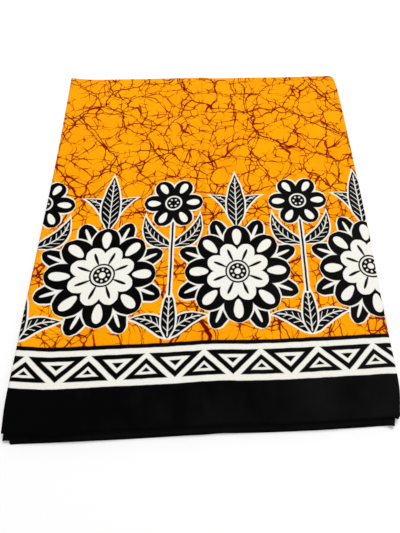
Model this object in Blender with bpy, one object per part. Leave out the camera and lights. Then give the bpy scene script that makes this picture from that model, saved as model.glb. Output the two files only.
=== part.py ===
"""A batik sarong, folded flat: one cotton cloth folded twice across its length and once across its width.

Seen from above, X runs to the right, Y away from the hem and Z up, in metres. The cloth lies in eight
layers. The upper four (A to D) end in a hem edge at the near side, and the lower four (D to A again) stick
out a little further. Layer A is the face and, over the far fold, also the back.
"""

from bisect import bisect_right
from collections import namedtuple
from math import cos, pi, sin, sqrt

import bmesh
import bpy

MM = 0.001

# The folded size, in millimetres
FACE_LENGTH = 571.0
FACE_WIDTH = 455.0
NEAR_SLANT = 0.0435
FAR_SLANT = -0.006
FAR_CORNER_CUT = 3.0
FAR_CORNER_LENGTH = 8.0
HEM_STRIP_SETBACK = 1.7
HEM_STRIP_DEPTH = 36.0
HEM_STRIP_INSET = 3.0

# Heights in the stack, in millimetres, before the soft waves lift or lower them
STACK = 10.8
WALL = 1.1
GAP = 0.3
SIDE_GAP = 0.75
FAR_GAP = 0.45
GROUP_GAP = 0.6
GROUP = (STACK - GROUP_GAP) / 2
SIDE_RADIUS = GROUP / 2
FAR_RADIUS = (STACK - GAP) / 2
INNER_RADIUS = FAR_RADIUS - WALL - FAR_GAP
INNER_LOW = WALL + GAP
INNER_HIGH = STACK - WALL - GAP
STRIP_LOW = GROUP - WALL
STRIP_HIGH = GROUP
SIDE_CLEAR = SIDE_RADIUS + SIDE_GAP

# How finely the pieces are divided, with closer columns along the crease down the middle and closer columns
# and rows by the far fold's rounded corner
COLUMNS = 18
CREASE_COLUMNS = (0.475, 0.488, 0.496, 0.504, 0.512, 0.525)
CREASE_WIDTH = 0.03
CORNER_COLUMNS = (0.98, 0.991)
ROWS = 20
CORNER_ROWS = (0.97, 0.986)
STRIP_ROWS = 3
SIDE_TURNS = 8
FAR_TURNS = 6

# Where the side edges lie, from the near corner (0) to the far fold (1)
Edge = namedtuple("Edge", "along face_left face_right back_left back_right")
EDGES = (
    Edge(0.00, -226.9, 223.7, -218.6, 218.0),
    Edge(0.06, -229.8, 229.6, -218.4, 226.0),
    Edge(0.15, -229.5, 229.9, -219.8, 231.4),
    Edge(0.27, -229.2, 230.2, -221.5, 232.8),
    Edge(0.45, -228.4, 232.1, -223.5, 232.4),
    Edge(0.70, -227.8, 231.8, -226.0, 231.6),
    Edge(0.90, -229.4, 230.6, -228.8, 230.2),
    Edge(0.97, -230.3, 229.3, -230.2, 229.1),
    Edge(1.00, -230.8, 227.0, -230.8, 227.0),
)

# Along the hem, from the left edge (0) to the right edge (1): how far the weave has drifted away from the
# hem, how far the lower layers stick out there, and how far the far fold bulges
Drift = namedtuple("Drift", "across away step far")
DRIFTS = (
    Drift(0.00, 2.8, 10.8, 6.7),
    Drift(0.04, 1.2, 9.2, 3.6),
    Drift(0.10, -0.8, 7.4, 1.4),
    Drift(0.22, -0.7, 7.4, 1.8),
    Drift(0.30, -0.4, 7.7, 1.9),
    Drift(0.40, -0.1, 7.5, 2.6),
    Drift(0.47, 0.7, 7.8, 3.2),
    Drift(0.51, 1.0, 8.1, 3.0),
    Drift(0.55, 1.5, 8.0, 1.7),
    Drift(0.60, 0.4, 7.5, 1.5),
    Drift(0.68, -0.4, 7.5, 2.1),
    Drift(0.80, 0.2, 8.2, 2.1),
    Drift(0.90, 1.0, 8.4, 3.1),
    Drift(1.00, 1.7, 8.2, 3.3),
)

# The rounded block of hidden layers: its rings from the bottom up, and how far each stays inside the face's
# left edge and inside its own group's near edge
Ring = namedtuple("Ring", "height left_at_near left_at_far near")
RINGS = (
    Ring(INNER_LOW, 10.4, 3.4, 1.9),
    Ring(2.0, 9.4, 2.4, 0.9),
    Ring(2.6, 7.2, 3.2, 2.1),
    Ring(3.1, 4.0, 1.8, 2.3),
    Ring(3.5, 3.2, 1.2, 2.9),
    Ring(3.7, HEM_STRIP_INSET, 1.2, HEM_STRIP_SETBACK + HEM_STRIP_DEPTH),
    Ring(4.5, 3.2, 1.6, HEM_STRIP_SETBACK + HEM_STRIP_DEPTH),
    Ring(5.35, 5.2, 3.4, HEM_STRIP_SETBACK + HEM_STRIP_DEPTH),
    Ring(5.5, 4.6, 3.2, 2.6),
    Ring(6.1, 1.7, 1.2, 1.3),
    Ring(6.75, 1.2, 0.9, 2.3),
    Ring(7.4, 1.6, 1.2, 1.5),
    Ring(8.05, 3.0, 2.2, 2.6),
    Ring(8.7, 1.6, 1.2, 1.4),
    Ring(INNER_HIGH, 2.2, 1.8, 2.2),
)
GROUPS_MEET = STACK / 2

# The largest soft waves of the stack: where each lies, its half sizes, its turn and its lift
Wave = namedtuple("Wave", "x y half_length half_width turn lift")
WAVES = (
    Wave(0, 0, 2000, 7, pi / 2, 0.55),
    Wave(-150, -170, 90, 36, 0.1, -0.5),
    Wave(40, -215, 80, 30, -0.1, 0.6),
    Wave(150, 40, 120, 60, 0.5, -0.5),
    Wave(-110, 150, 130, 50, -0.3, 0.45),
    Wave(228, 0, 2000, 26, pi / 2, 0.7),
    Wave(0, 292, 2000, 34, 0.0, 0.6),
    Wave(-228, -250, 60, 46, 0.7, -0.9),
    Wave(215, -262, 70, 40, -0.6, -0.7),
)

FACE_COLOUR = (0.920, 0.332, 0.002, 1)
BACK_COLOUR = (0.850, 0.290, 0.004, 1)
INNER_COLOUR = (0.800, 0.270, 0.006, 1)
HEM_COLOUR = (0.004, 0.004, 0.004, 1)
CLOTH_ROUGHNESS = 0.85


def smooth(rows, column, at):
    """The table's value at a place between its rows, on one smooth curve through them."""
    places = [row[0] for row in rows]
    values = [getattr(row, column) for row in rows]
    after = min(max(bisect_right(places, at), 1), len(rows) - 1)
    before = after - 1
    width = places[after] - places[before]
    share = min(max((at - places[before]) / width, 0.0), 1.0)

    def slope(index):
        low, high = max(index - 1, 0), min(index + 1, len(rows) - 1)
        return (values[high] - values[low]) / (places[high] - places[low]) * width

    rise = values[after] - values[before]
    first, last = slope(before), slope(after)
    curve = (first + last - 2 * rise) * share + 3 * rise - 2 * first - last
    return values[before] + share * (first + share * curve)


def mix(low, high, share):
    return low + (high - low) * share


def bump(distance):
    """A soft hump: 1 at its middle, 0 from twice its half size outward."""
    return (1 - (distance / 2) ** 2) ** 2 if abs(distance) < 2 else 0.0


def relief(x, y):
    """How much the soft waves stretch the stack's height at this place."""
    height = STACK
    for wave in WAVES:
        along = (x - wave.x) * cos(wave.turn) + (y - wave.y) * sin(wave.turn)
        across = (y - wave.y) * cos(wave.turn) - (x - wave.x) * sin(wave.turn)
        height += wave.lift * bump(along / wave.half_length) * bump(across / wave.half_width)
    return height / STACK


def near_edge(across):
    x = mix(EDGES[0].face_left, EDGES[0].face_right, across)
    return -FACE_LENGTH / 2 + NEAR_SLANT * x + smooth(DRIFTS, "away", across)


def far_edge(across):
    """The far fold's place, which draws in where it meets the side fold."""
    x = mix(EDGES[-1].face_left, EDGES[-1].face_right, across)
    past = max(1 - (EDGES[-1].face_right - x) / FAR_CORNER_LENGTH, 0.0)
    return FACE_LENGTH / 2 + FAR_SLANT * x + smooth(DRIFTS, "far", across) - FAR_CORNER_CUT * past**2


def far_roll(across):
    """Where the far fold starts to turn down."""
    return far_edge(across) - FAR_RADIUS


def back_near_edge(across):
    return near_edge(across) - smooth(DRIFTS, "step", across)


def edge_at(column, across, y):
    """A side edge's place where it passes this y."""
    near = near_edge(across) if column.startswith("face") else back_near_edge(across)
    along = (y - near) / (far_roll(across) - near)
    return smooth(EDGES, column, min(max(along, 0.0), 1.0))


def even_places(count):
    return [index / count for index in range(count + 1)]


def column_places():
    even = [place for place in even_places(COLUMNS) if abs(place - 0.5) > CREASE_WIDTH]
    return sorted([*even, *CREASE_COLUMNS, *CORNER_COLUMNS])


def row_places():
    return sorted([*even_places(ROWS), *CORNER_ROWS])


def turns(count, whole):
    """The angles of a fold past its flat part."""
    return [whole * (index + 1) / count for index in range(count)]


def box_grid(name, columns, rows, levels, place, colour):
    """A closed block of faces whose every corner place(column, row, level) puts where it lies."""
    mesh = bmesh.new()
    bmesh.ops.create_grid(mesh, x_segments=columns, y_segments=rows, size=0.5)
    raised = bmesh.ops.extrude_face_region(mesh, geom=mesh.faces[:])
    for corner in raised["geom"]:
        if isinstance(corner, bmesh.types.BMVert):
            corner.co.z = 1.0
    posts = [edge for edge in mesh.edges if abs(edge.verts[0].co.z - edge.verts[1].co.z) > 0.5]
    if levels > 1:
        bmesh.ops.subdivide_edges(mesh, edges=posts, cuts=levels - 1)
    for corner in mesh.verts:
        column = round((corner.co.x + 0.5) * columns)
        row = round((corner.co.y + 0.5) * rows)
        corner.co = [MM * value for value in place(column, row, round(corner.co.z * levels))]
    bmesh.ops.recalc_face_normals(mesh, faces=mesh.faces[:])
    data = bpy.data.meshes.new(name)
    mesh.to_mesh(data)
    mesh.free()
    data.shade_smooth()
    data.set_sharp_from_angle(angle=pi / 4)
    data.materials.append(cloth_material(name, colour))
    panel = bpy.data.objects.new(name, data)
    bpy.context.scene.collection.objects.link(panel)
    return panel


def cloth_material(name, colour):
    material = bpy.data.materials.new(name + "_cotton")
    material.use_nodes = True
    shader = material.node_tree.nodes["Principled BSDF"]
    shader.inputs["Base Color"].default_value = colour
    shader.inputs["Roughness"].default_value = CLOTH_ROUGHNESS
    shader.inputs["Metallic"].default_value = 0.0
    return material


def folded_wall(left, right, near, upside_down):
    """The corners of an outer wall that rolls round the side fold and up to the middle of the far fold."""
    side = [(place, 0.0) for place in column_places()] + [(1.0, turn) for turn in turns(SIDE_TURNS, pi)]
    length = [(place, 0.0) for place in row_places()] + [(1.0, turn) for turn in turns(FAR_TURNS, pi / 2)]

    def place(column, row, level):
        across, side_turn = side[column]
        along, far_turn = length[row]
        inside = WALL * (1 - level)
        x_left = smooth(EDGES, left, along)
        x_roll = smooth(EDGES, right, along) - SIDE_RADIUS
        x = mix(x_left, x_roll, across) + (SIDE_RADIUS - inside) * sin(side_turn)
        depth = SIDE_RADIUS - (SIDE_RADIUS - inside) * cos(side_turn)
        radius = FAR_RADIUS - depth
        y = mix(near(across), far_roll(across), along) + radius * sin(far_turn)
        height = STACK - FAR_RADIUS + radius * cos(far_turn)
        if upside_down:
            height = STACK - height
        return x, y, height * relief(x, y)

    return len(side) - 1, len(length) - 1, place


def make_face_panel():
    columns, rows, place = folded_wall("face_left", "face_right", near_edge, False)
    return box_grid("face_panel", columns, rows, 1, place, FACE_COLOUR)


def make_back_panel():
    columns, rows, place = folded_wall("back_left", "back_right", back_near_edge, True)
    return box_grid("back_panel", columns, rows, 1, place, BACK_COLOUR)


def make_hem_strip():
    """The lower group's top layer, where it shows past the face's hem, seated between the groups."""
    places = column_places()

    def place(column, row, level):
        across = places[column]
        y = back_near_edge(across) + HEM_STRIP_SETBACK + (HEM_STRIP_DEPTH - GAP) * row / STRIP_ROWS
        x_left = edge_at("face_left", across, y) + HEM_STRIP_INSET
        x_right = edge_at("back_right", across, y) - SIDE_CLEAR
        x = mix(x_left, x_right, across)
        return x, y, mix(STRIP_LOW, STRIP_HIGH, level) * relief(x, y)

    return box_grid("lower_hem_strip", len(places) - 1, STRIP_ROWS, 1, place, HEM_COLOUR)


def inner_far_reach(height):
    """How far the hidden layers reach past the start of the far fold, at this height."""
    past = max(height - (STACK + GAP) / 2, (STACK - GAP) / 2 - height, 0.0)
    return sqrt(max(INNER_RADIUS**2 - past**2, 0.0))


def make_inner_layers():
    """The hidden layers as one rounded block, ridged where the layers end and folded over at the far side."""
    places, along_places = column_places(), row_places()

    def place(column, row, level):
        ring, along = RINGS[level], along_places[row]
        inset = mix(ring.left_at_near, ring.left_at_far, along)
        across = mix(inset / FACE_WIDTH, 1 - SIDE_GAP / FACE_WIDTH, places[column])
        upper = ring.height > GROUPS_MEET
        near = near_edge(across) if upper else back_near_edge(across)
        y = mix(near + ring.near, far_roll(across) + inner_far_reach(ring.height), along)
        x_roll = edge_at("face_right" if upper else "back_right", across, y) - SIDE_RADIUS
        x = mix(edge_at("face_left", across, y), x_roll, across)
        return x, y, ring.height * relief(x, y)

    columns, rows, levels = len(places) - 1, len(along_places) - 1, len(RINGS) - 1
    return box_grid("inner_layers", columns, rows, levels, place, INNER_COLOUR)


def centre_on_floor(panels):
    """Move every panel so that the middle of the part's underside is at the origin."""
    corners = [corner.co for panel in panels for corner in panel.data.vertices]
    low = [min(corner[axis] for corner in corners) for axis in range(3)]
    high = [max(corner[axis] for corner in corners) for axis in range(3)]
    middle = [(low[0] + high[0]) / 2, (low[1] + high[1]) / 2, low[2]]
    for panel in panels:
        for corner in panel.data.vertices:
            corner.co = [corner.co[axis] - middle[axis] for axis in range(3)]


def main():
    for old in list(bpy.data.objects):
        bpy.data.objects.remove(old, do_unlink=True)
    centre_on_floor([make_face_panel(), make_hem_strip(), make_inner_layers(), make_back_panel()])


main()
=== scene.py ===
"""The looks of a folded batik sarong: one printed cotton cloth, folded into eight layers on a white floor.

The cloth is 1.83 m long, between its cut ends, and 1.143 m wide, between its selvedges. Places on it are
given by its cut: one number along the selvedge from a cut end, and one across from a selvedge, in
millimetres. Its upper four layers, from the top, are A to D, and past the far fold the same four come back
as the lower ones, D to A.
"""

from bisect import bisect_right
from collections import namedtuple
from math import cos, pi, radians, sin

import bmesh
import bpy
from mathutils import Matrix, Vector


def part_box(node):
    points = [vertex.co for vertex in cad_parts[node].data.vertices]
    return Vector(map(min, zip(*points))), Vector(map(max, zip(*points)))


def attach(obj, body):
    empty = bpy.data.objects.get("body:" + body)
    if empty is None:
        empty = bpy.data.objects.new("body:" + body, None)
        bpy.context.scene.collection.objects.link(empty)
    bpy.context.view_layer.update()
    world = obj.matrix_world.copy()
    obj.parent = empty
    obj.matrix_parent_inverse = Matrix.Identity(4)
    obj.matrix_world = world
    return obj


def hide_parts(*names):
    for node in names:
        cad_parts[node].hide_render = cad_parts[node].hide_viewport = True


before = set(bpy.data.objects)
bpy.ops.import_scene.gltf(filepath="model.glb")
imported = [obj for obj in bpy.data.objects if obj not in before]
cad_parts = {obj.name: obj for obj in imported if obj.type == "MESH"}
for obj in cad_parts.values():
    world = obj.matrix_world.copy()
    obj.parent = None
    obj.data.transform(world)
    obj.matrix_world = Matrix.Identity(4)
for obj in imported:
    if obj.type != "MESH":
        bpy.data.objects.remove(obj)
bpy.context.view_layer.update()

bl_info = {
    "name": "Folded batik sarong",
    "version": (1, 0, 0),
    "blender": (4, 5, 0),
    "location": "3D View > Sidebar > Sarong",
    "description": "Lays a printed cotton sarong, folded flat in eight layers, on a white floor",
    "category": "Object",
}

MM = 0.001

# The flat cloth, in millimetres
CUT_LENGTH = 1830.0
CUT_WIDTH = 1143.0

# The folded shape, in millimetres, as the construction has it
FACE_LENGTH = 571.0
NEAR_SLANT = 0.0435
FAR_SLANT = -0.006
FAR_CORNER_CUT = 3.0
FAR_CORNER_LENGTH = 8.0
STACK = 10.8
SIDE_RADIUS = 2.55

# The printed side's depth below the top of each group of four layers, and the radii of the two inner folds
DEPTH_OF_D = 2 * SIDE_RADIUS
DEPTH_OF_C = 3.1
DEPTH_OF_B = 1.95
LEFT_FOLD = (DEPTH_OF_D - DEPTH_OF_C) / 2
INNER_FOLD = (DEPTH_OF_C - DEPTH_OF_B) / 2

# Where the side edges lie, from the near corner (0) to the far fold (1)
Edge = namedtuple("Edge", "along face_left face_right back_left back_right")
EDGES = (
    Edge(0.00, -226.9, 223.7, -218.6, 218.0),
    Edge(0.06, -229.8, 229.6, -218.4, 226.0),
    Edge(0.15, -229.5, 229.9, -219.8, 231.4),
    Edge(0.27, -229.2, 230.2, -221.5, 232.8),
    Edge(0.45, -228.4, 232.1, -223.5, 232.4),
    Edge(0.70, -227.8, 231.8, -226.0, 231.6),
    Edge(0.90, -229.4, 230.6, -228.8, 230.2),
    Edge(0.97, -230.3, 229.3, -230.2, 229.1),
    Edge(1.00, -230.8, 227.0, -230.8, 227.0),
)

# Along the hem, from the left edge (0) to the right edge (1): how far the weave has drifted away from the
# hem, how far the lower layers stick out there, and how far the far fold bulges
Drift = namedtuple("Drift", "across away step far")
DRIFTS = (
    Drift(0.00, 2.8, 10.8, 6.7),
    Drift(0.04, 1.2, 9.2, 3.6),
    Drift(0.10, -0.8, 7.4, 1.4),
    Drift(0.22, -0.7, 7.4, 1.8),
    Drift(0.30, -0.4, 7.7, 1.9),
    Drift(0.40, -0.1, 7.5, 2.6),
    Drift(0.47, 0.7, 7.8, 3.2),
    Drift(0.51, 1.0, 8.1, 3.0),
    Drift(0.55, 1.5, 8.0, 1.7),
    Drift(0.60, 0.4, 7.5, 1.5),
    Drift(0.68, -0.4, 7.5, 2.1),
    Drift(0.80, 0.2, 8.2, 2.1),
    Drift(0.90, 1.0, 8.4, 3.1),
    Drift(1.00, 1.7, 8.2, 3.3),
)

# How far the print has been pulled along the hem, by the place along the cut
Pull = namedtuple("Pull", "cut along")
PULLS = (
    Pull(0.0, -3.7),
    Pull(18.0, -3.6),
    Pull(53.0, 0.4),
    Pull(90.0, 2.9),
    Pull(160.0, 2.2),
    Pull(230.0, 0.9),
    Pull(300.0, -1.4),
    Pull(370.0, -2.9),
    Pull(402.0, -4.2),
    Pull(440.0, -7.8),
    Pull(520.0, -8.5),
)

# How far the edges of a layer at this depth stay inside the outer layer's: near edges of the upper and the
# lower group, left edges, and how much of the bottom layer's setback on the left the lower ones share
Inset = namedtuple("Inset", "depth near_top near_low left follow")
INSETS = (
    Inset(0.0, 0.0, 0.0, 0.0, 1.0),
    Inset(DEPTH_OF_B, 1.4, 0.9, 1.5, 0.75),
    Inset(DEPTH_OF_C, 2.6, 2.3, 1.4, 0.22),
    Inset(DEPTH_OF_D, 1.5, 1.7, 0.9, 0.04),
)

# The inner layers' near edges run in soft waves: their height, how closely they follow each other, how far
# they shift from layer to layer, and where they start in the upper and the lower group
EDGE_WAVE = 0.55
EDGE_WAVE_TURNS = 19.0
EDGE_WAVE_DRIFT = 2.3
EDGE_WAVE_STARTS = (0.0, 1.7)

# At its left near corner the lower group's folded layer draws back, and at the right one each group's next
# layer sticks out from the side fold's end
CORNER_LIFT = 2.2
CORNER_LIFT_SHARE = 0.03
FOLD_SKEW = 3.4
FOLD_SKEW_LENGTH = 3.5

# The largest soft waves of the stack: where each lies, its half sizes, its turn and its lift
Wave = namedtuple("Wave", "x y half_length half_width turn lift")
WAVES = (
    Wave(0, 0, 2000, 7, pi / 2, 0.55),
    Wave(-150, -170, 90, 36, 0.1, -0.5),
    Wave(40, -215, 80, 30, -0.1, 0.6),
    Wave(150, 40, 120, 60, 0.5, -0.5),
    Wave(-110, 150, 130, 50, -0.3, 0.45),
    Wave(228, 0, 2000, 26, pi / 2, 0.7),
    Wave(0, 292, 2000, 34, 0.0, 0.6),
    Wave(-228, -250, 60, 46, 0.7, -0.9),
    Wave(215, -262, 70, 40, -0.6, -0.7),
)

# Finer creases of the top layer, and of the bottom one, in the same columns
FACE_CREASES = (
    Wave(0, 0, 2000, 1.0, pi / 2, 0.5),
    Wave(-2, -180, 60, 5, pi / 2, 0.3),
    Wave(3, 90, 110, 4, pi / 2, -0.25),
    Wave(-170, 246, 46, 9, 0.35, 0.35),
    Wave(-60, 262, 60, 7, -0.12, -0.3),
    Wave(90, 250, 70, 8, 0.1, 0.35),
    Wave(186, 214, 40, 7, 1.1, -0.3),
    Wave(-196, 70, 60, 8, 1.35, 0.3),
    Wave(-120, -30, 52, 7, 0.7, -0.25),
    Wave(70, 10, 64, 9, -0.45, 0.28),
    Wave(196, -60, 58, 8, 1.45, 0.32),
    Wave(120, -130, 60, 7, 0.3, -0.3),
    Wave(-70, -120, 48, 6, -0.6, 0.26),
    Wave(-190, -232, 34, 6, 0.9, 0.45),
    Wave(-120, -262, 40, 5, 0.05, 0.3),
    Wave(-30, -270, 36, 5, -0.1, -0.35),
    Wave(70, -256, 44, 6, 0.12, 0.4),
    Wave(176, -244, 38, 6, -0.7, 0.4),
)
BACK_CREASES = (
    Wave(0, 0, 2000, 2.5, pi / 2, 0.35),
    Wave(-140, -90, 70, 8, 0.5, 0.3),
    Wave(120, 60, 80, 9, -0.4, 0.35),
    Wave(-60, 190, 60, 7, 0.2, 0.25),
    Wave(90, -200, 66, 8, 0.15, 0.3),
)

# Lengths along the cut that lie flat between two folds, and what each piece tucks under the next
FLAT_LENGTH = 453.5
TUCK = 14.0
FAR_LAP = 0.012

# How finely each sheet is divided, with closer columns by the crease down its middle
CREASE_SHARES = (0.4955, 0.4972, 0.4986, 0.5014, 0.5028, 0.5045)
FACE_COLUMNS = 132
FACE_ROWS = 160
BACK_COLUMNS = 66
BACK_ROWS = 80
INNER_COLUMNS = 34
INNER_ROWS = 44
SIDE_TURNS = 12
FAR_TURNS = 16
SMALL_TURNS = 8

# The camera, fitted to the photograph's 400 by 533 frame
FRAME_HEIGHT = 533
FOCAL_PIXELS = 410.0
SENSOR = 36.0
CAMERA_PLACE = (7.5, -326.4, 502.7)
CAMERA_DOWN = radians(63.25)
CAMERA_YAW = radians(-2.64)
CAMERA_ROLL = radians(-2.74)

# The cracks in the wax, from the widest: the size of the cells between them, a shift of their pattern, half
# their width, how much that varies, how fast it fades away from wider ones, and how much it swells at them
Crack = namedtuple("Crack", "tone cell shift width uneven fade swell")
CRACKS = (
    Crack("vein", 104.0, (0.0, 0.0), 0.76, 1.3, 0.0, 0.0),
    Crack("vein", 50.0, (310.0, 170.0), 0.63, 1.5, 0.003, 0.4),
    Crack("branch", 36.0, (120.0, 520.0), 0.52, 2.1, 0.018, 0.4),
    Crack("hairline", 17.0, (610.0, 90.0), 0.55, 1.5, 0.085, 0.4),
)

# How far from a wider crack a finer one swells, how many times less at each such distance further out, and
# how far the dye bleeds past each crack
KNOT = 3.0
KNOT_BASE = 2.718
BLEED = 0.12

# How the cracks bend, widely and then finely, and how the drawn print wavers: size, reach and detail
Bend = namedtuple("Bend", "size reach detail")
CRACK_BENDS = (Bend(42.0, 8.0, 1.0), Bend(9.0, 1.6, 2.0))
PRINT_WAVER = Bend(24.0, 0.55, 3.0)

# Half the width over which a colour's edge softens, in the print, in the cracks and in what bled from them
PRINT_EDGE = 0.45
CRACK_EDGE = 0.4
BLEED_EDGE = 0.5

# The band of painted shade along the middle crease
CREASE_SHADE_HALF_WIDTH = 3.2
CREASE_SHADE_EDGE = 1.8
CREASE_PAINTED_SHADE = 0.14

# The sizes of the soft patches where the cracks widen, the dye lies deeper and the black is lighter or
# darker, and of the cotton's grain, which dims or lifts all its colours by up to these factors
CRACK_PATCH = 30.0
DYE_PATCH = 60.0
BLACK_PATCH = 70.0
GRAIN = 2.4
GRAIN_TONES = (0.93, 1.04)

# Between these most of a noise's values lie, and this brings its strays from the middle up to about 1
NOISE_LOW = 0.3
NOISE_HIGH = 0.7
NOISE_GAIN = 2.6

# How far the black is lightened: its share at two places along the cut, a painted sheen growing towards the
# side fold, how much random patches vary it, and painted light added on the lower group's strip at the near
# edge, from one to another distance from the lower group's selvedge
PAINTED_SHEEN_FROM = (60.0, -0.1)
PAINTED_SHEEN_TO = (FLAT_LENGTH, 0.75)
BLACK_PATCH_UNEVEN = 1.6
PAINTED_LIGHT_ON_LOWER_STRIP = (15.0, 7.0, 0.7)

# The weave: the spacing of its threads, drawn about three times coarser than the cotton's own 0.3 mm, which
# no picture of the whole cloth could show, a slub's length and width, the relief of both in metres, and how
# strongly it shows
THREAD = 1.0
THREAD_RELIEF = 0.00005
SLUB = (38.0, 1.4)
SLUB_RELIEF = 0.00009
RELIEF_SHARE = 0.6

# The selvedge border: how far from the selvedge its black hem, its cream band and its black line end
HEM_END = 49.0
BAND_END = 92.8
LINE_END = 98.0

# The border's triangles: their spacing along the cut and the first one's place, then for those that point
# down and up, half the base, where base and tip lie, the depths of the nested rings, and whether they stand
# between the first ones' places
TRIANGLE_PITCH = CUT_LENGTH / 26
FIRST_TRIANGLE = 53.5
Triangle = namedtuple("Triangle", "half_base base tip rings between")
TRIANGLES = (
    Triangle(33.0, 86.0, 56.0, (0.0, 5.8, 9.9), False),
    Triangle(26.5, 56.0, 80.0, (0.0, 5.1, 8.0), True),
)

# The print's flowers and leaves, one half of a mirrored repeat: places and sizes in millimetres from the
# middle of a large blossom, and from the selvedge
REPEAT = 183.0
FIRST_BLOSSOM = 91.5
OUTLINE = 2.3
Petals = namedtuple("Petals", "count shift start end width fill heart_start heart_end heart_width")
Blossom = namedtuple("Blossom", "x y petals discs dots dot_ring dot_size")
LARGE_BLOSSOM = Blossom(0.0, 192.0, (
    Petals(8, pi / 8, 20.0, 86.0, 13.0, "black", 46.0, 78.0, 2.2),
    Petals(8, 0.0, 12.0, 72.0, 19.0, "black", 40.0, 66.0, 6.5),
    Petals(8, pi / 8, 6.0, 44.0, 12.5, "cream", 16.0, 36.0, 2.0),
), ((17.0, "black"), (14.6, "cream"), (12.2, "black"), (4.2, "cream")), 8, 8.3, 1.5)
SMALL_BLOSSOM = Blossom(91.5, 304.0, (
    Petals(6, 0.0, 4.0, 43.0, 13.5, "black", 19.0, 38.0, 5.0),
), ((12.5, "cream"), (10.2, "black")), 6, 6.0, 1.4)
Leaf = namedtuple("Leaf", "x y turn length width bend")
LEAVES = (
    Leaf(91.5, 104.0, 152.0, 56.0, 9.5, -9.0),
    Leaf(91.5, 103.0, 90.0, 66.0, 9.0, 0.0),
    Leaf(91.5, 232.0, 128.0, 64.0, 10.0, 12.0),
    Leaf(0.0, 268.0, 52.0, 60.0, 10.5, 12.0),
    Leaf(0.0, 262.0, 90.0, 92.0, 13.0, 0.0),
)
STEM_HALF_WIDTH = 1.4
STEM_ENDS = (160.0, 300.0)

# A leaf's cream lines: half the midrib's width, half a side vein's, the veins' spacing and slant, and how far
# they keep from the outline
RIB_HALF_WIDTH = 0.8
VEIN_HALF_WIDTH = 0.6
VEIN_SPACING = 4.6
VEIN_SLANT = 1.1
VEIN_INSET = 2.4

# Half the width of a petal and of a leaf, as shares, by the share of its length
PETAL_SHAPE = ((0.0, 0.0), (0.08, 0.42), (0.3, 0.8), (0.62, 1.0), (0.85, 0.78), (0.96, 0.4), (1.0, 0.0))
LEAF_SHAPE = ((0.0, 0.0), (0.07, 0.4), (0.36, 1.0), (0.66, 0.78), (0.9, 0.26), (1.0, 0.0))

# The studio: half the floor's side in metres, the white surround's strength, and one softbox behind the
# far fold, whose place and side are in metres
FLOOR_HALF_SIDE = 4.0
SURROUND = 0.6
SOFTBOX_PLACE = (0.5, 1.3, 2.6)
SOFTBOX_SIDE = 1.4
SOFTBOX_WATTS = 61.0

# Kinds of node
MATH = "ShaderNodeMath"
VECTOR = "ShaderNodeVectorMath"
RANGE = "ShaderNodeMapRange"
MIX = "ShaderNodeMix"
NOISE = "ShaderNodeTexNoise"
CELLS = "ShaderNodeTexVoronoi"
SPLIT = "ShaderNodeSeparateXYZ"
JOIN = "ShaderNodeCombineXYZ"


def linear(hex_colour):
    """An sRGB hex colour as linear red, green, blue and alpha."""
    channels = [int(hex_colour[start : start + 2], 16) / 255 for start in (1, 3, 5)]
    return (*[c / 12.92 if c <= 0.04045 else ((c + 0.055) / 1.055) ** 2.4 for c in channels], 1.0)


def smooth(rows, column, at):
    """The table's value at a place between its rows, on one smooth curve through them."""
    places = [row[0] for row in rows]
    values = [getattr(row, column) for row in rows]
    after = min(max(bisect_right(places, at), 1), len(rows) - 1)
    before = after - 1
    width = places[after] - places[before]
    share = min(max((at - places[before]) / width, 0.0), 1.0)

    def slope(index):
        low, high = max(index - 1, 0), min(index + 1, len(rows) - 1)
        return (values[high] - values[low]) / (places[high] - places[low]) * width

    rise = values[after] - values[before]
    first, last = slope(before), slope(after)
    curve = (first + last - 2 * rise) * share + 3 * rise - 2 * first - last
    return values[before] + share * (first + share * curve)


def mix(low, high, share):
    return low + (high - low) * share


def bump(distance):
    """A soft hump: 1 at its middle, 0 from twice its half size outward."""
    return (1 - (distance / 2) ** 2) ** 2 if abs(distance) < 2 else 0.0


def waves_at(waves, x, y):
    height = 0.0
    for wave in waves:
        along = (x - wave.x) * cos(wave.turn) + (y - wave.y) * sin(wave.turn)
        across = (y - wave.y) * cos(wave.turn) - (x - wave.x) * sin(wave.turn)
        height += wave.lift * bump(along / wave.half_length) * bump(across / wave.half_width)
    return height


def near_edge(across):
    x = mix(EDGES[0].face_left, EDGES[0].face_right, across)
    return -FACE_LENGTH / 2 + NEAR_SLANT * x + smooth(DRIFTS, "away", across)


def far_edge(across):
    """The far fold's place, which draws in where it meets the side fold."""
    x = mix(EDGES[-1].face_left, EDGES[-1].face_right, across)
    past = max(1 - (EDGES[-1].face_right - x) / FAR_CORNER_LENGTH, 0.0)
    return FACE_LENGTH / 2 + FAR_SLANT * x + smooth(DRIFTS, "far", across) - FAR_CORNER_CUT * past**2


# How far the construction's frame lies from these numbers' own, read at the face's far left corner
SHIFT = Vector((
    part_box("face_panel")[0].x - MM * EDGES[-1].face_left,
    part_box("face_panel")[1].y - MM * far_edge(0.0),
    0.0,
))

# One column of a sheet: its share of the way to the side fold, how far it is pushed on past that, its depth
# in the group of layers and its place along the cut. One row: its share of the way to the far fold, its turn
# round that and its place across the cut.
Column = namedtuple("Column", "across push depth cut")
Row = namedtuple("Row", "along turn cut")


def face_columns(count):
    """Layer A from its cut end at the left, its fold round the right side and a tuck under the group."""
    shares = sorted([*[i / count for i in range(count + 1)], *CREASE_SHARES])
    columns = [Column(share, 0.0, 0.0, FLAT_LENGTH * share) for share in shares]
    for i in range(1, SIDE_TURNS + 1):
        turn = pi * i / SIDE_TURNS
        depth = SIDE_RADIUS * (1 - cos(turn))
        columns.append(Column(1.0, SIDE_RADIUS * sin(turn), depth, FLAT_LENGTH + SIDE_RADIUS * turn))
    last = columns[-1]
    columns += [Column(1.0, -TUCK * i / 3, last.depth, last.cut + TUCK * i / 3) for i in (1, 2, 3)]
    return columns


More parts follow.
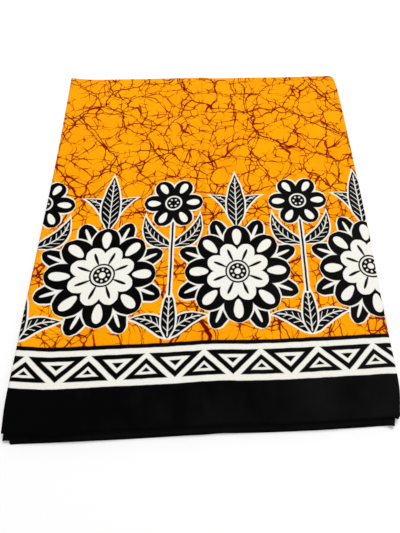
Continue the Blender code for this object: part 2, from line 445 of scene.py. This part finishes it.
def inner_columns(count):
    """Layers D, C and B: on from the face's tuck, round the left fold and back, then round the inner fold."""
    start = face_columns(1)[-1]
    columns = []
    for i in range(count + 1):
        across = 1 - i / count
        cut = start.cut + (FLAT_LENGTH - TUCK) * i / count
        columns.append(Column(across, -TUCK * across, DEPTH_OF_D, cut))
    cut = columns[-1].cut
    for i in range(1, SMALL_TURNS + 1):
        turn = pi * i / SMALL_TURNS
        depth = DEPTH_OF_D - LEFT_FOLD * (1 - cos(turn))
        columns.append(Column(0.0, -LEFT_FOLD * sin(turn), depth, cut + LEFT_FOLD * turn))
    cut = columns[-1].cut
    for i in range(1, count + 1):
        columns.append(Column(i / count, 0.0, DEPTH_OF_C, cut + FLAT_LENGTH * i / count))
    cut = columns[-1].cut
    for i in range(1, SMALL_TURNS + 1):
        turn = pi * i / SMALL_TURNS
        depth = DEPTH_OF_C - INNER_FOLD * (1 - cos(turn))
        columns.append(Column(1.0, INNER_FOLD * sin(turn), depth, cut + INNER_FOLD * turn))
    cut = columns[-1].cut
    for i in range(1, count + 1):
        columns.append(Column(1 - i / count, 0.0, DEPTH_OF_B, cut + FLAT_LENGTH * i / count))
    return columns


def flat_half(width):
    """How much of the cloth's width lies flat on either side of the far fold."""
    return width / 2 - pi * STACK / 4


def upper_rows(count, width):
    """From the selvedge at the near side to the start of the far fold."""
    flat = flat_half(width)
    return [Row(i / count, 0.0, flat * i / count) for i in range(count + 1)]


def far_rows(width):
    """Round the far fold."""
    flat = flat_half(width)
    turns = [pi * i / FAR_TURNS for i in range(1, FAR_TURNS + 1)]
    return [Row(1.0, turn, flat + turn * STACK / 2) for turn in turns]


def lower_rows(count, width, start=1.0, end=0.0):
    """Back from the far fold to the other selvedge, or from one share of that way to another."""
    flat = flat_half(width)
    shares = [mix(start, end, i / count) for i in range(count + 1)]
    return [Row(share, pi, width - flat * share) for share in shares]


def shape_of_column(column):
    """The near ends of a column in the upper and the lower group, and its insets."""
    inset = Inset(column.depth, *[smooth(INSETS, name, column.depth) for name in Inset._fields[1:]])
    wave = min(column.depth, 1.0) * EDGE_WAVE
    turned = EDGE_WAVE_TURNS * column.across + EDGE_WAVE_DRIFT * column.depth
    top, low = [wave * sin(turned + start) for start in EDGE_WAVE_STARTS]
    near = near_edge(column.across)
    lift = CORNER_LIFT * bump(column.across / CORNER_LIFT_SHARE)
    from_fold = (1 - column.across) * FLAT_LENGTH - min(column.push, 0.0)
    skew = FOLD_SKEW * bump(from_fold / FOLD_SKEW_LENGTH)
    near_low = near - smooth(DRIFTS, "step", column.across) + column.depth / DEPTH_OF_D * (lift - skew)
    near_top = near - column.depth / DEPTH_OF_D * skew
    return near_top + inset.near_top + top, near_low + inset.near_low + low, inset


def lay(column, row, column_shape, edge, far):
    """Where this place of the cloth lies, in millimetres."""
    near_top, near_low, inset = column_shape
    lower = row.turn > pi / 2
    left = mix(edge.face_left, edge.back_left, inset.follow) if lower else edge.face_left
    right = edge.back_right if lower else edge.face_right
    x = mix(left + inset.left, right - SIDE_RADIUS, column.across) + column.push
    radius = STACK / 2 - column.depth
    y = mix(near_low if lower else near_top, far, row.along) + radius * sin(row.turn)
    height = STACK / 2 + radius * cos(row.turn)
    z = height * (1 + waves_at(WAVES, x, y) / STACK)
    fade = max(1 - column.depth / SIDE_RADIUS, 0.0) * abs(cos(row.turn))
    if fade:
        z += fade * waves_at(BACK_CREASES if lower else FACE_CREASES, x, y)
    return x, y, z


def make_sheet(name, columns, rows, thickness):
    """A thin cloth laid by its columns and rows, with its cut kept as a UV map in metres."""
    mesh = bmesh.new()
    across, along = len(columns) - 1, len(rows) - 1
    bmesh.ops.create_grid(mesh, x_segments=across, y_segments=along, size=0.5)
    cut_map = mesh.loops.layers.uv.new("cloth_cut")
    bake_map = mesh.loops.layers.uv.new("OFBake")
    first, last = (columns[0].cut, rows[0].cut), (columns[-1].cut, rows[-1].cut)
    for corner in mesh.verts:
        corner.index = round((corner.co.x + 0.5) * across) + (across + 1) * round((corner.co.y + 0.5) * along)
    for face in mesh.faces:
        for loop in face.loops:
            row, column = divmod(loop.vert.index, across + 1)
            cut = columns[column].cut, rows[row].cut
            pull = smooth(PULLS, "along", cut[0])
            loop[cut_map].uv = MM * (cut[0] - pull), MM * cut[1]
            loop[bake_map].uv = [(cut[i] - first[i]) / (last[i] - first[i]) for i in (0, 1)]
    shapes = [shape_of_column(column) for column in columns]
    edges = [Edge(*[smooth(EDGES, name, row.along) for name in Edge._fields]) for row in rows]
    fars = [far_edge(column.across) - STACK / 2 for column in columns]
    for corner in mesh.verts:
        row, column = divmod(corner.index, across + 1)
        place = lay(columns[column], rows[row], shapes[column], edges[row], fars[column])
        corner.co = MM * Vector(place) + SHIFT
    data = bpy.data.meshes.new(name)
    mesh.to_mesh(data)
    mesh.free()
    data.shade_smooth()
    sheet = bpy.data.objects.new(name, data)
    bpy.context.scene.collection.objects.link(sheet)
    wall = sheet.modifiers.new("Cotton thickness", "SOLIDIFY")
    wall.thickness = thickness
    wall.offset = -1.0
    wall.use_rim = True
    return sheet


def add(tree, kind, *values, out=0, sockets=None, **settings):
    """Adds a node with these settings, gives its sockets values or links, and returns one of its outputs."""
    node = tree.nodes.new(kind)
    node.location = (220 * (len(tree.nodes) // 14), -170 * (len(tree.nodes) % 14))
    for name, setting in settings.items():
        setattr(node, name, setting)
    for place, value in [*enumerate(values), *(sockets or {}).items()]:
        if isinstance(value, bpy.types.NodeSocket):
            tree.links.new(value, node.inputs[place])
        elif value is not None:
            node.inputs[place].default_value = value
    return node.outputs[out]


def paint(tree, below, colour, distance, soft=PRINT_EDGE):
    """Lays a colour over another wherever the distance, in millimetres, is under 0."""
    mask = add(tree, RANGE, distance, -soft, soft, 1.0, 0.0)
    return add(tree, MIX, mask, out=2, sockets={6: below, 7: colour}, data_type="RGBA")


def wander(tree, place, size, reach, detail):
    """Moves a place by soft noise of this size, by up to about this reach, in millimetres."""
    noise = add(tree, NOISE, place, None, 1 / size, detail, 0.55, out=1, noise_dimensions="2D")
    centred = add(tree, VECTOR, noise, (0.5, 0.5, 0.5), operation="SUBTRACT")
    moved = add(tree, VECTOR, centred, operation="SCALE", sockets={"Scale": NOISE_GAIN * reach})
    return add(tree, VECTOR, place, moved, operation="ADD")


def crackle_ground(tree, place, look):
    """Dyed orange, with dark red lines from cracks in the wax and a band of painted shade along the middle
    crease.
    """
    jagged = wander(tree, wander(tree, place, *CRACK_BENDS[0]), *CRACK_BENDS[1])
    patches = add(tree, NOISE, place, None, 1 / CRACK_PATCH, 2.0, 0.5, noise_dimensions="2D")
    patches = add(tree, MATH, patches, 0.5, operation="SUBTRACT")
    near = None
    lines = []
    for crack in CRACKS:
        moved = add(tree, VECTOR, jagged, (*crack.shift, 0.0), operation="ADD")
        cells = add(tree, CELLS, moved, None, 1 / crack.cell, voronoi_dimensions="2D",
                    feature="DISTANCE_TO_EDGE")
        distance = add(tree, MATH, cells, crack.cell, operation="MULTIPLY")
        width = add(tree, MATH, patches, crack.uneven, crack.width, operation="MULTIPLY_ADD")
        if near is not None:
            width = add(tree, MATH, near, -crack.fade, width, operation="MULTIPLY_ADD")
            fading = add(tree, MATH, near, -KNOT, operation="DIVIDE")
            swell = add(tree, MATH, KNOT_BASE, fading, operation="POWER")
            width = add(tree, MATH, swell, crack.swell, width, operation="MULTIPLY_ADD")
        lines.append((look[crack.tone], add(tree, MATH, distance, width, operation="SUBTRACT")))
        near = distance if near is None else add(tree, MATH, near, distance, operation="MINIMUM")
    dye = add(tree, NOISE, place, None, 1 / DYE_PATCH, 2.0, 0.5, noise_dimensions="2D")
    uneven = add(tree, RANGE, dye, NOISE_LOW, NOISE_HIGH, 0.0, 1.0)
    ground = add(tree, MIX, uneven, out=2, data_type="RGBA",
                 sockets={6: look["ground"], 7: look["ground_low"]})
    for _, distance in lines:
        bled = add(tree, MATH, distance, BLEED, operation="SUBTRACT")
        ground = paint(tree, ground, look["bleed"], bled, BLEED_EDGE)
    for tone, distance in reversed(lines):
        ground = paint(tree, ground, tone, distance, CRACK_EDGE)
    # Painted shade: a band along the middle crease, darkened towards the narrower cracks' red
    middle = add(tree, MATH, add(tree, SPLIT, place), FLAT_LENGTH, operation="PINGPONG")
    crease = add(tree, MATH, middle, FLAT_LENGTH / 2, operation="SUBTRACT")
    crease = add(tree, MATH, crease, operation="ABSOLUTE")
    crease_shade = add(tree, RANGE, crease, CREASE_SHADE_HALF_WIDTH - CREASE_SHADE_EDGE, CREASE_SHADE_HALF_WIDTH + CREASE_SHADE_EDGE,
                 CREASE_PAINTED_SHADE, 0.0)
    return add(tree, MIX, crease_shade, out=2, sockets={6: ground, 7: look["branch"]}, data_type="RGBA")


def half_width(tree, share, shape, width):
    """The half width of a petal or leaf at this share of its length, under 0 past its ends."""
    profile = add(tree, "ShaderNodeFloatCurve", 1.0, share)
    points = profile.node.mapping.curves[0].points
    points[0].location, points[1].location = shape[0], shape[-1]
    for point in shape[1:-1]:
        points.new(*point)
    profile.node.mapping.update()
    return add(tree, MATH, profile, width, operation="MULTIPLY")


def leaf(tree, colour, place, shape, look):
    """A black leaf with a cream outline, midrib and side veins."""
    local = add(tree, "ShaderNodeMapping", place, (shape.x, shape.y, 0.0), (0.0, 0.0, radians(shape.turn)),
                vector_type="TEXTURE")
    along, beside = add(tree, SPLIT, local).node.outputs[:2]
    share = add(tree, MATH, along, shape.length, operation="DIVIDE")
    if shape.bend:
        bow = add(tree, MATH, share, add(tree, MATH, 1.0, share, operation="SUBTRACT"), operation="MULTIPLY")
        beside = add(tree, MATH, bow, -4 * shape.bend, beside, operation="MULTIPLY_ADD")
    beside = add(tree, MATH, beside, operation="ABSOLUTE")
    half = half_width(tree, share, LEAF_SHAPE, shape.width)
    distance = add(tree, MATH, beside, half, operation="SUBTRACT")
    colour = paint(tree, colour, look["cream"], add(tree, MATH, distance, OUTLINE, operation="SUBTRACT"))
    colour = paint(tree, colour, look["black"], distance)
    inside = add(tree, MATH, distance, VEIN_INSET, operation="ADD")
    slanted = add(tree, MATH, beside, -VEIN_SLANT, along, operation="MULTIPLY_ADD")
    veins = add(tree, MATH, slanted, VEIN_SPACING, operation="PINGPONG")
    veins = add(tree, MATH, veins, VEIN_HALF_WIDTH, operation="SUBTRACT")
    rib = add(tree, MATH, beside, RIB_HALF_WIDTH, operation="SUBTRACT")
    lines = add(tree, MATH, add(tree, MATH, veins, rib, operation="MINIMUM"), inside, operation="MAXIMUM")
    return paint(tree, colour, look["cream"], lines)


def blossom(tree, colour, place, flower, look):
    """A round blossom: rings of petals from the back to the front, then discs and a ring of dots."""
    centred = add(tree, VECTOR, place, (flower.x, flower.y, 0.0), operation="SUBTRACT")
    reach = add(tree, VECTOR, centred, out=1, operation="LENGTH")
    right, up = add(tree, SPLIT, centred).node.outputs[:2]
    angle = add(tree, MATH, up, right, operation="ARCTAN2")
    for petals in flower.petals:
        turned = add(tree, MATH, angle, petals.shift, operation="ADD")
        folded = add(tree, MATH, turned, pi / petals.count, operation="PINGPONG")
        along = add(tree, MATH, reach, add(tree, MATH, folded, operation="COSINE"), operation="MULTIPLY")
        beside = add(tree, MATH, reach, add(tree, MATH, folded, operation="SINE"), operation="MULTIPLY")
        share = add(tree, RANGE, along, petals.start, petals.end, 0.0, 1.0, clamp=False)
        half = half_width(tree, share, PETAL_SHAPE, petals.width)
        distance = add(tree, MATH, beside, half, operation="SUBTRACT")
        rim, heart = ("cream", "cream") if petals.fill == "black" else ("black", "black")
        colour = paint(tree, colour, look[rim], add(tree, MATH, distance, OUTLINE, operation="SUBTRACT"))
        colour = paint(tree, colour, look[petals.fill], distance)
        share = add(tree, RANGE, along, petals.heart_start, petals.heart_end, 0.0, 1.0, clamp=False)
        half = half_width(tree, share, PETAL_SHAPE, petals.heart_width)
        colour = paint(tree, colour, look[heart], add(tree, MATH, beside, half, operation="SUBTRACT"))
    for radius, tone in flower.discs:
        colour = paint(tree, colour, look[tone], add(tree, MATH, reach, radius, operation="SUBTRACT"))
    folded = add(tree, MATH, angle, pi / flower.dots, operation="PINGPONG")
    along = add(tree, MATH, reach, add(tree, MATH, folded, operation="COSINE"), operation="MULTIPLY")
    beside = add(tree, MATH, reach, add(tree, MATH, folded, operation="SINE"), operation="MULTIPLY")
    dot = add(tree, VECTOR, add(tree, JOIN, along, beside), (flower.dot_ring, 0.0, 0.0), out=1,
              operation="DISTANCE")
    return paint(tree, colour, look["cream"], add(tree, MATH, dot, flower.dot_size, operation="SUBTRACT"))


def flowers(tree, colour, along, across, look):
    """The mirrored repeat of blossoms and leaves above the border."""
    shifted = add(tree, MATH, along, FIRST_BLOSSOM, operation="SUBTRACT")
    place = add(tree, JOIN, add(tree, MATH, shifted, REPEAT / 2, operation="PINGPONG"), across)
    for shape in LEAVES:
        colour = leaf(tree, colour, place, shape, look)
    beside, up = add(tree, SPLIT, place).node.outputs[:2]
    beside = add(tree, MATH, REPEAT / 2, beside, operation="SUBTRACT")
    middle = sum(STEM_ENDS) / 2
    ends = add(tree, MATH, add(tree, MATH, up, middle, operation="SUBTRACT"), operation="ABSOLUTE")
    ends = add(tree, MATH, ends, middle - STEM_ENDS[0], operation="SUBTRACT")
    stem = add(tree, MATH, beside, STEM_HALF_WIDTH, operation="SUBTRACT")
    stem = add(tree, MATH, stem, ends, operation="MAXIMUM")
    colour = paint(tree, colour, look["cream"], add(tree, MATH, stem, OUTLINE, operation="SUBTRACT"))
    colour = paint(tree, colour, look["black"], stem)
    colour = blossom(tree, colour, place, SMALL_BLOSSOM, look)
    return blossom(tree, colour, place, LARGE_BLOSSOM, look)


def border(tree, below, along, across, look):
    """The selvedge border: black hem, a row of nested triangles between cream bands, and a black line."""
    colour = paint(tree, below, look["black"], add(tree, MATH, across, LINE_END, operation="SUBTRACT"))
    colour = paint(tree, colour, look["cream"], add(tree, MATH, across, BAND_END, operation="SUBTRACT"))
    shifted = add(tree, MATH, along, FIRST_TRIANGLE, operation="SUBTRACT")
    beside = add(tree, MATH, shifted, TRIANGLE_PITCH / 2, operation="PINGPONG")
    for shape in TRIANGLES:
        height = abs(shape.base - shape.tip)
        side = (shape.half_base**2 + height**2) ** 0.5
        rise = 1.0 if shape.base > shape.tip else -1.0
        steep = rise * shape.half_base / side
        out = add(tree, MATH, TRIANGLE_PITCH / 2, beside, operation="SUBTRACT") if shape.between else beside
        level = add(tree, MATH, across, steep, -steep * shape.tip, operation="MULTIPLY_ADD")
        slanted = add(tree, MATH, out, -height / side, level, operation="MULTIPLY_ADD")
        base = add(tree, MATH, across, -rise, rise * shape.base, operation="MULTIPLY_ADD")
        inside = add(tree, MATH, slanted, base, operation="MINIMUM")
        for number, ring in enumerate(shape.rings):
            tone = look["cream"] if number % 2 else look["black"]
            colour = paint(tree, colour, tone, add(tree, MATH, ring, inside, operation="SUBTRACT"))
    return paint(tree, colour, look["black"], add(tree, MATH, across, HEM_END, operation="SUBTRACT"))


def rubbed_black(tree, place, look):
    """The black print, with a painted sheen growing towards the side fold, painted light along the lower
    selvedge and soft random patches.
    """
    along = add(tree, MATH, add(tree, SPLIT, place), FLAT_LENGTH, operation="PINGPONG")
    (first, least), (last, most) = PAINTED_SHEEN_FROM, PAINTED_SHEEN_TO
    # Painted sheen: the black grows lighter along the cut towards the side fold
    rubbed = add(tree, RANGE, along, first, last, least, most, clamp=False)
    # Painted light: the lower group's strip along its selvedge, which shows at the near edge, is made lighter
    start, end, share = PAINTED_LIGHT_ON_LOWER_STRIP
    across = add(tree, SPLIT, place, out=1)
    lower_strip_light = add(tree, RANGE, across, CUT_WIDTH - start, CUT_WIDTH - end, 0.0, share)
    rubbed = add(tree, MATH, rubbed, lower_strip_light, operation="ADD")
    patches = add(tree, NOISE, place, None, 1 / BLACK_PATCH, 3.0, 0.6, noise_dimensions="2D")
    patches = add(tree, MATH, patches, 0.5, operation="SUBTRACT")
    rubbed = add(tree, MATH, patches, BLACK_PATCH_UNEVEN, rubbed, operation="MULTIPLY_ADD", use_clamp=True)
    return add(tree, MIX, rubbed, out=2, sockets={6: look["black"], 7: look["rubbed"]}, data_type="RGBA")


def weave(tree, place):
    """The relief of plain weave: threads that cross over and under, and longer, thicker slubs among them."""
    along, across = add(tree, SPLIT, place).node.outputs[:2]
    threads = [
        add(tree, MATH, add(tree, MATH, way, pi / THREAD, operation="MULTIPLY"), operation="SINE")
        for way in (along, across)
    ]
    height = add(tree, MATH, *threads, operation="MULTIPLY")
    bumps = add(tree, "ShaderNodeBump", RELIEF_SHARE, THREAD_RELIEF, sockets={"Height": height})
    for size_along, size_across in (SLUB, SLUB[::-1]):
        stretched = add(tree, JOIN, add(tree, MATH, along, size_along, operation="DIVIDE"),
                        add(tree, MATH, across, size_across, operation="DIVIDE"))
        slubs = add(tree, NOISE, stretched, None, 1.0, 2.0, 0.5, noise_dimensions="2D")
        bumps = add(tree, "ShaderNodeBump", RELIEF_SHARE, SLUB_RELIEF,
                    sockets={"Height": slubs, "Normal": bumps})
    return bumps


def printed_cotton(look):
    """Plain-weave cotton with a wax-crackle print: matt, slightly slubby, with deep black and soft cream."""
    material = bpy.data.materials.new("printed_plain_weave_cotton")
    material.use_nodes = True
    tree = material.node_tree
    cut = add(tree, "ShaderNodeUVMap", uv_map="cloth_cut")
    place = add(tree, VECTOR, cut, operation="SCALE", sockets={"Scale": 1 / MM})
    drawn = wander(tree, place, *PRINT_WAVER)
    along = add(tree, SPLIT, drawn)
    across = add(tree, MATH, add(tree, SPLIT, drawn, out=1), CUT_WIDTH / 2, operation="PINGPONG")
    # The black carries a painted sheen, painted light on the lower strip and random patches
    look["black"] = rubbed_black(tree, place, look)
    colour = crackle_ground(tree, place, look)
    colour = flowers(tree, colour, along, across, look)
    colour = border(tree, colour, along, across, look)
    grain = add(tree, NOISE, place, None, 1 / GRAIN, 2.0, 0.7, noise_dimensions="2D")
    grain = add(tree, RANGE, grain, NOISE_LOW, NOISE_HIGH, *GRAIN_TONES)
    colour = add(tree, VECTOR, colour, add(tree, JOIN, grain, grain, grain), operation="MULTIPLY")
    shader = tree.nodes["Principled BSDF"]
    tree.links.new(colour, shader.inputs["Base Color"])
    tree.links.new(weave(tree, place), shader.inputs["Normal"])
    # Cotton scatters nearly all its light: no highlight, so the black stays deep, and only a trace of lint
    # that brightens it at a grazing angle
    shader.inputs["Roughness"].default_value = 0.82
    shader.inputs["Specular IOR Level"].default_value = 0.035
    shader.inputs["Sheen Weight"].default_value = 0.01
    shader.inputs["Sheen Roughness"].default_value = 0.5
    return material


class SarongSizes(bpy.types.PropertyGroup):
    cut_width: bpy.props.FloatProperty(
        name="Cut width",
        description="From selvedge to selvedge of the flat cloth",
        default=MM * CUT_WIDTH,
        min=0.9,
        max=1.3,
        unit="LENGTH",
    )
    thickness: bpy.props.FloatProperty(
        name="Thickness",
        description="Thickness of the cotton, with its loose threads",
        default=0.0004,
        min=0.0002,
        max=0.001,
        precision=5,
        unit="LENGTH",
    )


class SarongLook(bpy.types.PropertyGroup):
    ground: bpy.props.FloatVectorProperty(
        name="Ground",
        description="Orange dye",
        default=linear("#F4A000"),
        size=4,
        subtype="COLOR",
    )
    ground_low: bpy.props.FloatVectorProperty(
        name="Deep ground",
        description="Where the dye lies deeper",
        default=linear("#F09700"),
        size=4,
        subtype="COLOR",
    )
    vein: bpy.props.FloatVectorProperty(
        name="Vein",
        description="Dye in the wide cracks",
        default=linear("#620802"),
        size=4,
        subtype="COLOR",
    )
    branch: bpy.props.FloatVectorProperty(
        name="Branch",
        description="Dye in the narrower cracks",
        default=linear("#7C1303"),
        size=4,
        subtype="COLOR",
    )
    hairline: bpy.props.FloatVectorProperty(
        name="Hairline",
        description="Dye in the finest cracks",
        default=linear("#9A2603"),
        size=4,
        subtype="COLOR",
    )
    bleed: bpy.props.FloatVectorProperty(
        name="Bleed",
        description="Dye that bled beside the cracks",
        default=linear("#CC5A06"),
        size=4,
        subtype="COLOR",
    )
    black: bpy.props.FloatVectorProperty(
        name="Black",
        description="The hem and the darks of the print",
        default=linear("#010101"),
        size=4,
        subtype="COLOR",
    )
    # The lighter black used for the painted sheen, the painted light on the lower strip and random patches
    rubbed: bpy.props.FloatVectorProperty(
        name="Black with painted light",
        description="Where handling greyed it",
        default=linear("#0E0E0E"),
        size=4,
        subtype="COLOR",
    )
    cream: bpy.props.FloatVectorProperty(
        name="Cream",
        description="Cotton that the wax kept bare",
        default=linear("#E8E6DD"),
        size=4,
        subtype="COLOR",
    )


def place_piece(sheet, nodes):
    """Gives the sheet the printed cotton, hangs it under the root body and hides the construction's parts it
    stands for.
    """
    cotton = bpy.data.materials.get("printed_plain_weave_cotton")
    if cotton is None:
        look = bpy.context.scene.sarong_look
        cotton = printed_cotton({name: tuple(getattr(look, name)) for name in SarongLook.__annotations__})
    sheet.data.materials.append(cotton)
    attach(sheet, "root")
    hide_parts(*nodes)


class SARONG_OT_lay_face(bpy.types.Operator):
    """Lay the top layer, with its rolls round the right side and the far fold"""

    bl_idname = "sarong.lay_face"
    bl_label = "Lay the face"

    def execute(self, context):
        sizes = context.scene.sarong_sizes
        width = sizes.cut_width / MM
        rows = upper_rows(FACE_ROWS, width) + far_rows(width) + lower_rows(2, width, 1.0, 1.0 - FAR_LAP)[1:]
        columns = face_columns(FACE_COLUMNS)
        sheet = make_sheet("face_cloth", columns, rows, sizes.thickness)
        place_piece(sheet, ["face_panel"])
        return {"FINISHED"}


class SARONG_OT_lay_back(bpy.types.Operator):
    """Lay the bottom layer, back from the far fold, with its roll round the right side"""

    bl_idname = "sarong.lay_back"
    bl_label = "Lay the back"

    def execute(self, context):
        sizes = context.scene.sarong_sizes
        rows = lower_rows(BACK_ROWS, sizes.cut_width / MM, 1.0 - FAR_LAP)
        columns = face_columns(BACK_COLUMNS)
        sheet = make_sheet("back_cloth", columns, rows, sizes.thickness)
        place_piece(sheet, ["back_panel"])
        return {"FINISHED"}


class SARONG_OT_lay_inner(bpy.types.Operator):
    """Lay the three inner layers of both groups, whose edges show at the near and left sides"""

    bl_idname = "sarong.lay_inner"
    bl_label = "Lay the inner layers"

    def execute(self, context):
        sizes = context.scene.sarong_sizes
        width = sizes.cut_width / MM
        rows = upper_rows(INNER_ROWS, width) + far_rows(width) + lower_rows(INNER_ROWS, width)[1:]
        columns = inner_columns(INNER_COLUMNS)
        sheet = make_sheet("inner_cloth", columns, rows, sizes.thickness)
        place_piece(sheet, ["inner_layers", "lower_hem_strip"])
        return {"FINISHED"}


class SARONG_OT_set_stage(bpy.types.Operator):
    """Set up the white floor, the soft light and the camera"""

    bl_idname = "sarong.set_stage"
    bl_label = "Set the stage"

    def execute(self, context):
        scene = context.scene
        scene.view_settings.view_transform = "Standard"
        mesh = bmesh.new()
        bmesh.ops.create_grid(mesh, x_segments=1, y_segments=1, size=FLOOR_HALF_SIDE)
        data = bpy.data.meshes.new("floor")
        mesh.to_mesh(data)
        mesh.free()
        floor = bpy.data.objects.new("floor", data)
        scene.collection.objects.link(floor)
        paper = bpy.data.materials.new("matt_white_paper_sweep")
        paper.use_nodes = True
        # Matt paper shows no reflection of the lamp, only the soft shadow under the hem
        shader = paper.node_tree.nodes["Principled BSDF"]
        shader.inputs["Base Color"].default_value = linear("#F6F6F6")
        shader.inputs["Roughness"].default_value = 0.95
        data.materials.append(paper)

        world = bpy.data.worlds.new("studio_white")
        world.use_nodes = True
        sky = world.node_tree.nodes["Background"]
        sky.inputs["Color"].default_value = linear("#FFFFFF")
        sky.inputs["Strength"].default_value = SURROUND
        scene.world = world
        lamp = bpy.data.lights.new("softbox", "AREA")
        lamp.size = SOFTBOX_SIDE
        lamp.energy = SOFTBOX_WATTS
        softbox = bpy.data.objects.new("softbox", lamp)
        softbox.location = SOFTBOX_PLACE
        softbox.rotation_euler = (-softbox.location).to_track_quat("-Z", "Y").to_euler()
        scene.collection.objects.link(softbox)

        lens = bpy.data.cameras.new("camera")
        lens.sensor_width = SENSOR
        lens.lens = FOCAL_PIXELS * SENSOR / FRAME_HEIGHT
        lens.clip_start = 0.01
        camera = bpy.data.objects.new("camera", lens)
        turn = Matrix.Rotation(-CAMERA_YAW, 4, "Z") @ Matrix.Rotation(pi / 2 - CAMERA_DOWN, 4, "X")
        roll = Matrix.Rotation(CAMERA_ROLL, 4, "Z")
        camera.matrix_world = Matrix.Translation(MM * Vector(CAMERA_PLACE)) @ turn @ roll
        scene.collection.objects.link(camera)
        scene.camera = camera
        return {"FINISHED"}


class SARONG_PT_panel(bpy.types.Panel):
    bl_label = "Sarong"
    bl_idname = "SARONG_PT_panel"
    bl_space_type = "VIEW_3D"
    bl_region_type = "UI"
    bl_category = "Sarong"

    def draw(self, context):
        column = self.layout.column(align=True)
        for operator in OPERATORS:
            column.operator(operator.bl_idname)
        for group in (context.scene.sarong_sizes, context.scene.sarong_look):
            for name in type(group).__annotations__:
                self.layout.prop(group, name)


GROUPS = (SarongSizes, SarongLook)
OPERATORS = (SARONG_OT_set_stage, SARONG_OT_lay_face, SARONG_OT_lay_back, SARONG_OT_lay_inner)


def register():
    for kind in (*GROUPS, *OPERATORS, SARONG_PT_panel):
        bpy.utils.register_class(kind)
    bpy.types.Scene.sarong_sizes = bpy.props.PointerProperty(type=SarongSizes)
    bpy.types.Scene.sarong_look = bpy.props.PointerProperty(type=SarongLook)


def unregister():
    del bpy.types.Scene.sarong_sizes
    del bpy.types.Scene.sarong_look
    for kind in reversed((*GROUPS, *OPERATORS, SARONG_PT_panel)):
        bpy.utils.unregister_class(kind)


def main():
    register()
    bpy.ops.sarong.set_stage()
    bpy.ops.sarong.lay_face()
    bpy.ops.sarong.lay_back()
    bpy.ops.sarong.lay_inner()


if __name__ == "__main__":
    main()
